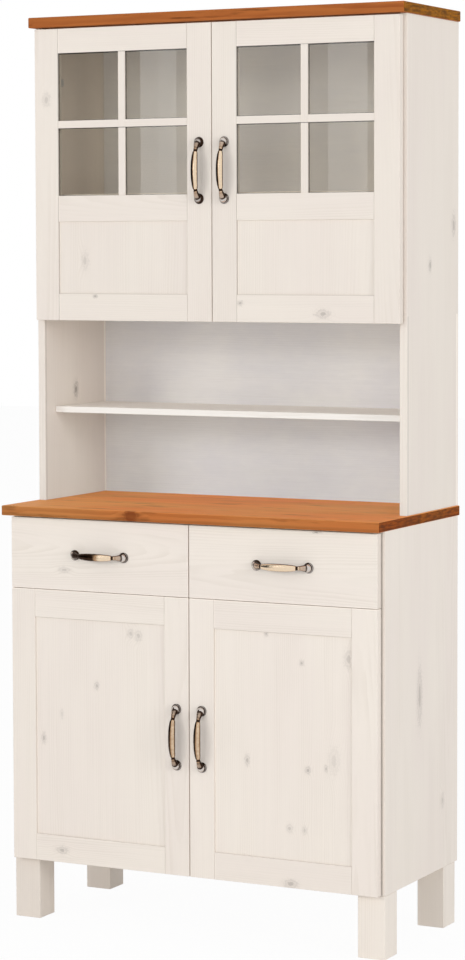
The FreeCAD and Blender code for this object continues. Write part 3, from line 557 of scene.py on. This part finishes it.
# Half width and share of the other lines: an upright joint whose side is hidden, a dark line with
# painted shade in it, the painted highlight beside a shown one and how far it lies from it, the painted
# highlight along the edges where drawers and doors meet, the painted highlight below and beside a pane,
# and the painted shade above it
HIDDEN = (0.0008, 0.10)
GLINT = (0.0011, -0.05)
GLINT_ASIDE = 0.0019
GAP_HIGHLIGHT = (0.0025, -0.10)
PANE_EDGE_HIGHLIGHT = (0.0006, -0.04)
REVEAL_SHADE = (0.0008, 0.82)
# The painted shade in a pane beside its bars, at its foot and at its head
PANE_RIM = (0.0013, 0.8)
PANE_FOOT = (0.0013, 0.6)
PANE_HEAD = (0.0022, 0.75)

# The painted shade in the gap beside a base door, on the side board's front edge only
BASE_GAP_SHADE = (0.0035, 0.32, "Y", -0.152, -0.149)
# Whole rows for lines(): the painted shade at the far side of the left pane, a darker line on the niche's
# sides near their front and painted light in its rear corners, painted shade towards the left of its back
# and painted light towards the right, and a darker band along the worktop's underside
LEFT_PANE_SHADE = ("X", -0.345, 0.10, 0.13)
NICHE_EDGES = (("Y", -0.0465, 0.003, 0.16, "Z", *NICHE), ("Y", 0.1862, 0.004, -0.22, "Z", *NICHE))
NICHE_LIGHT_AND_SHADE = (("X", -0.385, 0.26, 0.09), ("X", 0.385, 0.34, -0.05))
UNDERSIDE = ("Z", 0.792, 0.008, 0.20)

PLAIN_BOARDS = (
    ("hutch_cabinet_floor", WHITE_GLAZE, LONG_FLAT), ("hutch_cabinet_shelf", WHITE_GLAZE, LONG_FLAT),
    ("base_floor", WHITE_GLAZE, LONG_FLAT), ("base_shelf", WHITE_GLAZE, LONG_FLAT),
    ("base_top_rails", WHITE_GLAZE, LONG_FLAT), ("drawer_deck", LIT_PALE_GLAZE, LONG_FLAT),
    ("drawer_partition", WHITE_GLAZE, DEEP_SIDE), ("base_back_panel", THIN_BOARD, LONG_FRONT),
    ("niche_shelf", LIT_PALE_GLAZE, LONG_FLAT), ("hutch_cap", CAP_OIL, LONG_FLAT),
    ("assembly_dowels", RAW_BEECH, LONG_FLAT),
)


def dress(node, material):
    """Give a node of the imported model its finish."""
    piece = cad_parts[node]
    if not piece.material_slots:
        piece.data.materials.append(None)
    for place in piece.material_slots:
        place.material = material


def timber(node, look, axes, turned=None, joints_and_painted_light=()):
    """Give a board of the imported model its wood."""
    dress(node, wood(node, look, axes, KNOTS.get(node, ()), turned, joints_and_painted_light))


def opening(side):
    """The left and the right edge of what a door's stiles frame."""
    return sorted((side * NEAR_EDGE, side * FAR_EDGE))


def dress_case(hand, side):
    """The side boards and the legs on one side."""
    timber(f"hutch_side_{hand}", WHITE_GLAZE, UPRIGHT_SIDE, joints_and_painted_light=NICHE_EDGES)
    timber(f"base_side_{hand}", LIT_LOW_GLAZE, UPRIGHT_SIDE, joints_and_painted_light=[("X", side * DOOR_EDGE, *BASE_GAP_SHADE)])
    for place in ("front", "rear"):
        # The left legs get the darker copy of the glaze as painted shade, the right ones a paler copy as
        # painted light
        timber(f"leg_{place}_{hand}", PAINTED_SHADE_GLAZE if hand == "left" else LIT_LOW_GLAZE, UPRIGHT_FRONT)


def dress_door(kind, hand, side):
    """Stiles, rails, low panel and hinge cups of one door."""
    door = f"{kind}_{hand}"
    row = DOORS[kind]
    left, right = opening(side)
    upright = [("X", left, *row["shown"]), ("X", right, *HIDDEN), ("X", left + GLINT_ASIDE, *GLINT)]
    level = [("Z", *row["foot"]), ("Z", *row["head"])]
    # A base door has a painted highlight along its top, where it meets a drawer; an upper door has a
    # painted highlight at its window's foot and painted shade at its head
    if kind == "base_door":
        stile_ends = rail_ends = [("Z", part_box(f"{door}_stiles")[1].z, *GAP_HIGHLIGHT)]
    else:
        stile_ends = []
        rail_ends = [("Z", WINDOW_FOOT, *PANE_EDGE_HIGHLIGHT), ("Z", WINDOW_HEAD, *REVEAL_SHADE)]
    timber(f"{door}_stiles", row["upright"], UPRIGHT_FRONT, joints_and_painted_light=upright + stile_ends)
    timber(f"{door}_rails", row["rail"], LONG_FRONT, joints_and_painted_light=upright + level + rail_ends)
    timber(f"{door}_panel", row["upright"], UPRIGHT_FRONT, joints_and_painted_light=upright + level)
    dress(f"{door}_hinge_cups", zinc_steel(f"{door}_hinge_cups"))


def dress_window(hand, side):
    """Glazing bars and pane of one upper door."""
    middle = side * (NEAR_EDGE + FAR_EDGE) / 2
    bar = (middle - BAR_HALF, middle + BAR_HALF)
    upright_edges = [("X", spot) for spot in (*opening(side), *bar)]
    level_edges = [("Z", BAR_LEVEL - BAR_HALF), ("Z", BAR_LEVEL + BAR_HALF)]
    # Painted highlights along the bar's sides and painted shade under the crossbar
    bar_lines = [(*edge, *PANE_EDGE_HIGHLIGHT) for edge in upright_edges] + [(*level_edges[0], *REVEAL_SHADE)]
    timber(f"upper_door_{hand}_glazing_bars", WHITE_GLAZE, LONG_FRONT, ("X", *bar), bar_lines)
    pane_lines = [(*edge, *PANE_RIM) for edge in upright_edges + level_edges]
    pane_lines += [("Z", WINDOW_FOOT, *PANE_FOOT), ("Z", WINDOW_HEAD, *PANE_HEAD)]
    if hand == "left":
        pane_lines.append(LEFT_PANE_SHADE)
    dress(f"upper_door_{hand}_glass", clear_glass(f"pane_glass_{hand}", pane_lines))


def dress_drawer(hand):
    """Front, box, bottom and runners of one drawer."""
    drawer = f"drawer_{hand}"
    # A painted highlight along the front's foot, where it meets a door
    foot = ("Z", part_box(f"{drawer}_front")[0].z, *GAP_HIGHLIGHT)
    timber(f"{drawer}_front", LIT_LOW_WAVY, LONG_FRONT, joints_and_painted_light=[foot])
    timber(f"{drawer}_box", WHITE_GLAZE, DEEP_SIDE)
    timber(f"{drawer}_bottom", THIN_BOARD, LONG_FLAT)
    dress(f"{drawer}_runners", zinc_steel(f"{drawer}_runners"))


for hand, side in (("left", -1), ("right", 1)):
    dress_case(hand, side)
    dress_door("upper_door", hand, side)
    dress_door("base_door", hand, side)
    dress_window(hand, side)
    dress_drawer(hand)
for row in PLAIN_BOARDS:
    timber(*row)
timber("hutch_back_panel", THIN_BOARD, LONG_FRONT, joints_and_painted_light=NICHE_LIGHT_AND_SHADE)
timber("worktop", HONEY_OIL, LONG_FLAT, joints_and_painted_light=[UNDERSIDE])
for fitting in ("hinge_arms", "drawer_tracks", "leg_bolts"):
    dress(fitting, zinc_steel(fitting))
dress("shelf_pins", plastic("shelf_pins"))


# Bow pulls, in millimetres about the middle of their own seat: X along the pull, Y to its side, Z
# outwards. On either side the bow's middle line is a quarter of a rounded oblong, whose powers say how
# square it is. The bow ends at a share of that quarter, inside the rosette, and its slope is measured
# over a small angle on both sides of each section.
PULL_REACH = 53.5
PULL_RISE = 20.2
BOW_LENGTH_POWER = 2.3
BOW_RISE_POWER = 1.8
BOW_STEPS = 100
BOW_SIDES = 32
BOW_END = 0.985
SLOPE_STEP = 0.01
ROSETTE_SIDES = 40
ROSETTE_RADIUS = 10.0
FRONT_THICKNESS = 16
SCREW_DEPTH = 2.0

# Along one half of the bow, from the middle to the rosette: share of the quarter turn, half width,
# half thickness, how bright the metal is rubbed, and how nickel-grey it is
BOW_PROFILE = (
    (0.00, 7.1, 4.8, 1.0, 0.0), (0.14, 6.9, 4.7, 1.0, 0.0), (0.30, 6.0, 4.4, 1.0, 0.0),
    (0.40, 5.0, 4.1, 1.0, 0.0), (0.412, 4.7, 4.0, 0.8, 0.0), (0.42, 4.0, 3.6, 0.0, 0.0),
    (0.475, 3.8, 3.5, 0.0, 0.1), (0.49, 4.2, 4.0, 0.8, 0.1), (0.53, 4.2, 4.0, 0.45, 0.2),
    (0.60, 4.9, 4.7, 0.6, 0.3), (0.68, 5.8, 5.5, 0.5, 0.4), (0.75, 6.5, 6.2, 0.2, 0.6),
    (0.82, 6.7, 6.3, 0.0, 1.0), (0.90, 6.4, 6.0, 0.0, 1.0), (1.00, 6.0, 5.6, 0.0, 1.0),
)
# The rosette, from its rim to its crown: radius, height and how bright it is rubbed. The groove beside the
# dome holds patina; the dark rim and the dark steep side of the dome are painted shade and dark reflection
ROSETTE_PROFILE = (
    (ROSETTE_RADIUS, 0.0, 0.0), (ROSETTE_RADIUS, 0.8, 0.0), (9.8, 1.4, 0.0), (9.3, 1.7, 0.3),
    (8.9, 1.9, 0.5), (8.4, 1.9, 0.2), (8.0, 2.1, 0.0), (7.9, 3.0, 0.0), (7.9, 4.0, 0.1),
    (7.6, 5.2, 0.3), (7.0, 6.4, 0.6), (6.1, 7.6, 0.85), (4.8, 8.7, 0.9), (3.2, 9.5, 0.9),
    (1.6, 9.9, 0.9), (0.0, 10.0, 0.9),
)
# The screw's head, from the back of the front to its crown, in the same way
SCREW_PROFILE = (
    (2.0, 0.0, 1.0), (4.0, 0.0, 1.0), (4.1, -0.5, 1.0), (3.9, -1.2, 1.0), (3.2, -1.8, 1.0),
    (1.8, -SCREW_DEPTH, 1.0), (0.0, -SCREW_DEPTH, 1.0),
)
# Where the neck begins along the half bow, how much of its rubbing the pull's painted dark reflection takes
# at full strength, and where the section of neck and grip turns bright, from its side to its outside:
# rubbed metal on the outside, and dark sides that are partly patina and partly painted dark reflection
NECK = 0.48
NECK_DARKENING = 0.45
NECK_TOP = (0.3, 0.8)
GRIP_TOP = (0.0, 0.6)
# Where it turns bright from one side of the grip to the other, on a pull that stands or lies: the dark side
# is painted dark reflection
STANDING_SIDE = (-0.5, 0.35)
LYING_SIDE = (-1.0, -0.7)
# The length over which a dull stretch fades, and the side on which a rosette is painted dark, as shade and
# dark reflection: towards the bow and a little against Y
DULL_FADE = 26
ROSETTE_SHADE_AIM = (0.9, -0.5)
ROSETTE_SHADE_STEP = (0.0, 0.45)
# Each pull's dull stretch along its bow (from, to, share of the rubbing left) and the darkening of its
# rosettes, both set pull by pull as painted dark reflection
PULLS = (
    ("upper_door_left", (0, 60, 0.8), 0.65), ("upper_door_right", None, 0.1),
    ("base_door_left", (-98, 98, 0.66), 0.2), ("base_door_right", (-98, 98, 0.66), 0.2),
    ("drawer_left", (-98, 20, 0.12), 0.2), ("drawer_right", None, 0.0),
)


def rise(spot, low, high):
    """A smooth step from nought at low to one at high."""
    way = min(max((spot - low) / (high - low), 0.0), 1.0)
    return way * way * (3 - 2 * way)


def eased(table, share):
    """What a profile says at a share, with a smooth run from each row to the next."""
    for first, last in zip(table, table[1:]):
        if share <= last[0]:
            way = rise(share, first[0], last[0])
            return [start + (end - start) * way for start, end in zip(first[1:], last[1:])]
    return list(table[-1][1:])


def skin(mesh, rings, layers):
    """Join rings of (point, wear, silver) into a closed skin. A ring of one point is a tip."""
    made = []
    for ring in rings:
        made.append([])
        for point, *tones in ring:
            corner = mesh.verts.new(point)
            for layer, tone in zip(layers, tones):
                corner[layer] = tone
            made[-1].append(corner)
    for first, last in zip(made, made[1:]):
        count = max(len(first), len(last))
        for number in range(count):
            after = (number + 1) % count
            corners = [first[number % len(first)], first[after % len(first)],
                       last[after % len(last)], last[number % len(last)]]
            mesh.faces.new(list(dict.fromkeys(corners)))
    for ring in (made[0], made[-1]):
        if len(ring) > 2:
            mesh.faces.new(ring)


def bow_at(angle):
    """How far along and outwards the bow's middle line is, at an angle of its quarter turn."""
    length = PULL_REACH * math.sin(angle) ** (2 / BOW_LENGTH_POWER)
    height = PULL_RISE * math.cos(angle) ** (2 / BOW_RISE_POWER)
    return length, height


def bow_rings(bright_side, painted_dark_reflection):
    """The bow's sections, from inside one rosette to inside the other."""
    rings = []
    for step in range(1 - BOW_STEPS, BOW_STEPS):
        share = min(abs(step) / BOW_STEPS, BOW_END)
        sign = 1 if step >= 0 else -1
        angle = share * math.pi / 2
        length, height = bow_at(angle)
        further, nearer = bow_at(angle + SLOPE_STEP), bow_at(max(angle - SLOPE_STEP, 0.0))
        slope = 0.0
        if angle > SLOPE_STEP:
            slope = math.atan2(nearer[1] - further[1], further[0] - nearer[0])
        half_width, half_thick, rub_and_shade, silver = eased(BOW_PROFILE, share)
        neck = share > NECK
        # The neck is darkened pull by pull: painted dark reflection
        if neck:
            rub_and_shade *= 1 - NECK_DARKENING * painted_dark_reflection
        centre = Vector((sign * length, 0, height))
        up = Vector((sign * math.sin(slope), 0, math.cos(slope)))
        ring = []
        for corner in range(BOW_SIDES):
            turn = 2 * math.pi * corner / BOW_SIDES
            out = math.sin(turn)
            aside = math.cos(turn)
            point = centre + Vector((0, 1, 0)) * half_width * aside + up * half_thick * out
            # Bright on the outside as rubbed metal; the dark sides are partly patina and partly painted
            # dark reflection, and one whole side of a grip is painted dark reflection
            bright = rise(out, *NECK_TOP) if neck else rise(out, *GRIP_TOP) * rise(aside, *bright_side)
            ring.append((point, rub_and_shade * bright, silver))
        rings.append(ring)
    return rings


def lathe(profile, centre, inwards=0, painted_dark_reflection=0.0):
    """Rings of a turned form, whose rows are radius, height and rubbing.

    inwards is the direction of the bow, where a rosette is painted dark as shade and dark reflection, and
    the last argument darkens the whole rosette as painted dark reflection.
    """
    rings = []
    for radius, height, rub_and_shade in profile:
        if radius == 0:
            rings.append([(centre + Vector((0, 0, height)), rub_and_shade, 1.0)])
            continue
        ring = []
        for corner in range(ROSETTE_SIDES):
            turn = 2 * math.pi * corner / ROSETTE_SIDES
            spot = Vector((radius * math.cos(turn), radius * math.sin(turn), height))
            # Painted shade and dark reflection on the side towards the bow and a little against Y
            shaded_side = ROSETTE_SHADE_AIM[0] * inwards * spot.x + ROSETTE_SHADE_AIM[1] * abs(inwards) * spot.y
            light = 1 - rise(shaded_side / ROSETTE_RADIUS, *ROSETTE_SHADE_STEP)
            ring.append((centre + spot, rub_and_shade * (1 - painted_dark_reflection) * light, 1.0))
        rings.append(ring)
    return rings


def pull_form(dull, bright_side, painted_dark_reflection):
    """The whole pull as one mesh: bow, two rosettes, and the heads of its two screws."""
    mesh = bmesh.new()
    wear_and_shade, silver = (mesh.verts.layers.float.new(name) for name in ("wear_and_shade", "silver"))
    skin(mesh, bow_rings(bright_side, painted_dark_reflection), (wear_and_shade, silver))
    if dull:
        # The dull stretch is painted dark reflection, set pull by pull
        low, high, share = dull
        for corner in mesh.verts:
            depth = rise(corner.co.x, low, low + DULL_FADE) * rise(corner.co.x, high, high - DULL_FADE)
            corner[wear_and_shade] *= 1 - (1 - share) * depth
    for end in (-1, 1):
        seat = Vector((end * PULL_REACH, 0, 0))
        skin(mesh, lathe(ROSETTE_PROFILE, seat, -end, painted_dark_reflection), (wear_and_shade, silver))
    brass_faces = len(mesh.faces)
    for end in (-1, 1):
        seat = Vector((end * PULL_REACH, 0, -FRONT_THICKNESS))
        skin(mesh, lathe(SCREW_PROFILE, seat), (wear_and_shade, silver))
    bmesh.ops.recalc_face_normals(mesh, faces=mesh.faces)
    for number, face in enumerate(mesh.faces):
        face.smooth = True
        face.material_index = 0 if number < brass_faces else 1
    form = bpy.data.meshes.new("pull_form")
    mesh.to_mesh(form)
    mesh.free()
    return form


def pull(node, body, dull, painted_dark_reflection, materials, standing):
    """One dressed pull in place of its plain node."""
    low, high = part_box(node)
    seat_plane = high.y - (FRONT_THICKNESS + SCREW_DEPTH) * MILLIMETRE
    centre = Vector(((low.x + high.x) / 2, seat_plane, (low.z + high.z) / 2))
    if standing:
        axes = Matrix(((0, 1, 0), (0, 0, -1), (1, 0, 0)))
    else:
        axes = Matrix(((1, 0, 0), (0, 0, -1), (0, -1, 0)))
    mesh = pull_form(dull, STANDING_SIDE if standing else LYING_SIDE, painted_dark_reflection)
    mesh.transform(Matrix.Translation(centre) @ axes.to_4x4() @ Matrix.Scale(MILLIMETRE, 4))
    # Both sets of axes mirror the form, so its faces are turned back outwards
    mesh.flip_normals()
    for material in materials:
        mesh.materials.append(material)
    piece = bpy.data.objects.new(node.replace("_handle", "_pull"), mesh)
    scene.collection.objects.link(piece)
    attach(piece, body)
    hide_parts(node)


pull_metals = (antique_brass("pull_brass"), zinc_steel("pull_screws"))
for body, dull, painted_dark_reflection in PULLS:
    pull(f"{body}_handle", body, dull, painted_dark_reflection, pull_metals, standing="door" in body)


# Floor, studio light and camera
FLOOR_HALF = 15.0
FLOOR_GLOW = 0.955
STUDIO = (0.985, 0.99, 1.0, 1.0)
STUDIO_STRENGTH = 0.57
MIDDLE = (0.0, 0.0, 0.95)
# Square soft lamps, aimed at the buffet's middle: place, width, power and tint
LAMPS = {
    "key": ((-4.3, -7.5, 3.5), 2.0, 112.0, (1.0, 0.99, 0.97)),
    "front": ((0.0, -9.0, 2.6), 3.0, 100.0, (1.0, 1.0, 1.0)),
    "fill": ((7.4, -2.7, 2.3), 3.0, 150.0, (1.0, 0.995, 0.985)),
}
# Cards that only mirrors see, in one plane. A dark one gives the metal its dark side. The others make the
# bands in the left and the right door's panes: (left, right, glow), and on the right the glow below and
# above the crossing.
CARD_PLANE = -2.6
DARK_LEFT = -9.0
DARK_HEAD = 4.0
BAND_FOOT = 1.2
BAND_CROSSING = 1.673
BAND_HEAD = 2.2
LEFT_BANDS = (
    (-1.684, -1.609, 0.5), (-1.609, -1.562, 0.6), (-1.562, -1.502, 2.85), (-1.502, -1.442, 3.4),
    (-1.442, -1.380, 1.55),
)
RIGHT_BANDS = (
    (-1.300, -1.040, 1.25, 2.05), (-1.040, -0.952, 1.0, 1.45), (-0.952, -0.829, 2.75, 3.05),
    (-0.829, -0.790, 0.5, 0.9),
)
CAMERA_PLACE = (2.4814, -4.8156, 1.3105)
CAMERA_YAW = 27.19
CAMERA_PITCH = 3.53
CAMERA_ROLL = -0.17
CAMERA_LENS = 105.67
CAMERA_SENSOR = 36.0
CAMERA_SHIFT = -0.0625


def seen_directly(shader):
    """1 for what the camera sees, straight, in a mirror or through glass."""
    path = shader.add("ShaderNodeLightPath")
    seen = shader.math("MAXIMUM", path.outputs["Is Camera Ray"], path.outputs["Is Glossy Ray"])
    return shader.math("MAXIMUM", seen, path.outputs["Is Transmission Ray"])


def flat(name, corners, material):
    """An object of a single face."""
    mesh = bpy.data.meshes.new(name)
    mesh.from_pydata(corners, [], [(0, 1, 2, 3)])
    mesh.materials.append(material)
    sheet = bpy.data.objects.new(name, mesh)
    scene.collection.objects.link(sheet)
    return sheet


def floor():
    """A pale floor that shows nearly white and keeps the buffet's shadow."""
    shader = Shader("floor_finish")
    speckle = shader.noise(shader.scaled(shader.given("Object"), 40.0), 4.0)
    body = shader.mix(speckle, colour(248, 248, 247), colour(251, 251, 250))
    plain = shader.add("ShaderNodeBsdfDiffuse", {"Color": body}).outputs[0]
    glow = shader.add("ShaderNodeEmission", {"Color": WHITE, "Strength": 1.0}).outputs[0]
    share = shader.math("MULTIPLY", seen_directly(shader), FLOOR_GLOW)
    material = shader.finish(shader.add("ShaderNodeMixShader", {0: share, 1: plain, 2: glow}).outputs[0])
    corners = [(x * FLOOR_HALF, y * FLOOR_HALF, 0.0) for x, y in ((-1, -1), (1, -1), (1, 1), (-1, 1))]
    ground = flat("floor", corners, material)


def studio():
    """Even light from all around, and a white background to look at."""
    scene.world = bpy.data.worlds.new("studio")
    shader = Shader("studio", scene.world)
    around = shader.add("ShaderNodeBackground", {"Color": STUDIO, "Strength": STUDIO_STRENGTH}).outputs[0]
    behind = shader.add("ShaderNodeBackground", {"Color": WHITE, "Strength": 1.0}).outputs[0]
    blend = shader.add("ShaderNodeMixShader", {0: seen_directly(shader), 1: around, 2: behind}).outputs[0]
    shader.add("ShaderNodeOutputWorld", {"Surface": blend})


def card(left, right, foot, head, strength):
    """One glowing card."""
    shader = Shader("card_glow")
    glow = shader.add("ShaderNodeEmission", {"Color": WHITE, "Strength": strength}).outputs[0]
    corners = [(x, CARD_PLANE, z) for x, z in ((left, foot), (right, foot), (right, head), (left, head))]
    panel = flat("card", corners, shader.finish(glow))
    for kind in ("camera", "diffuse", "transmission", "volume_scatter", "shadow"):
        setattr(panel, "visible_" + kind, False)


def cards():
    """The dark card, which goes on below the first band, and the bands."""
    first_left, first_right, _ = LEFT_BANDS[0]
    card(DARK_LEFT, first_left, 0.0, DARK_HEAD, 0.0)
    card(first_left, first_right, 0.0, BAND_FOOT, 0.0)
    for left, right, glow in LEFT_BANDS:
        card(left, right, BAND_FOOT, BAND_HEAD, glow)
    for left, right, low_glow, high_glow in RIGHT_BANDS:
        card(left, right, BAND_FOOT, BAND_CROSSING, low_glow)
        card(left, right, BAND_CROSSING, BAND_HEAD, high_glow)


def lamp(name, place, width, power, tint):
    """A square soft lamp that mirrors don't show."""
    light = bpy.data.lights.new(name, "AREA")
    light.size = width
    light.energy = power
    light.color = tint
    holder = bpy.data.objects.new(name, light)
    holder.location = place
    holder.rotation_mode = "QUATERNION"
    holder.rotation_quaternion = (Vector(MIDDLE) - Vector(place)).to_track_quat("-Z", "Y")
    holder.visible_glossy = False
    scene.collection.objects.link(holder)


def camera():
    """The photograph's viewpoint, from the buffet's right and a little above its middle."""
    data = bpy.data.cameras.new("camera")
    data.sensor_width = CAMERA_SENSOR
    data.lens = CAMERA_LENS
    data.shift_y = CAMERA_SHIFT
    data.clip_end = 100.0
    eye = bpy.data.objects.new("camera", data)
    turn = Matrix.Rotation(math.radians(CAMERA_YAW), 4, "Z")
    tip = Matrix.Rotation(math.radians(90 - CAMERA_PITCH), 4, "X")
    roll = Matrix.Rotation(math.radians(CAMERA_ROLL), 4, "Z")
    eye.matrix_world = Matrix.Translation(CAMERA_PLACE) @ turn @ tip @ roll
    scene.collection.objects.link(eye)
    scene.camera = eye


floor()
studio()
for name, row in LAMPS.items():
    lamp(name, *row)
cards()
camera()
